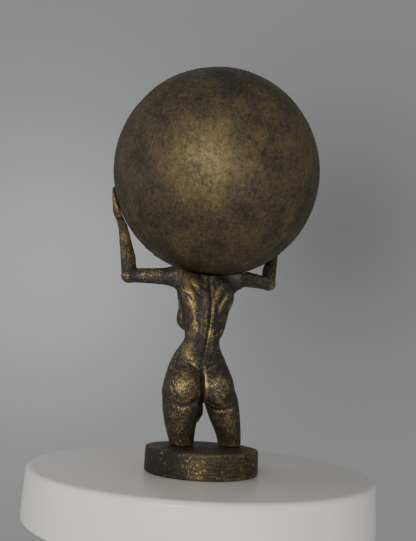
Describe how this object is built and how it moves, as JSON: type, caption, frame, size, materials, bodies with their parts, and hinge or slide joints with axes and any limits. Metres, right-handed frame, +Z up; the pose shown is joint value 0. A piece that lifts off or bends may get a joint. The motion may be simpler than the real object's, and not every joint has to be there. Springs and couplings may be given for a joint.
{
  "type": "atlas statue",
  "caption": "Statuette of a nude figure cut at mid-thigh on a round plinth, its raised arms holding a great plain globe on its bowed nape.",
  "frame": {"origin": "middle of the plinth's flat underside", "axes": "+Z up; the figure looks along -Y, so its left hand is at +X"},
  "size_m": [0.15, 0.15, 0.2832],
  "materials": {
    "figure_patina": "cast resin painted brown-black and rubbed with gold on its high places",
    "globe_patina": "brown-black with a thin cloudy gold rub, matt",
    "plinth_patina": "brown-black with gold brushed across its side and rim"
  },
  "bodies": {
    "root": {"base": "plinth_patina", "figure": "figure_patina", "globe": "globe_patina"}
  },
  "joints": []
}
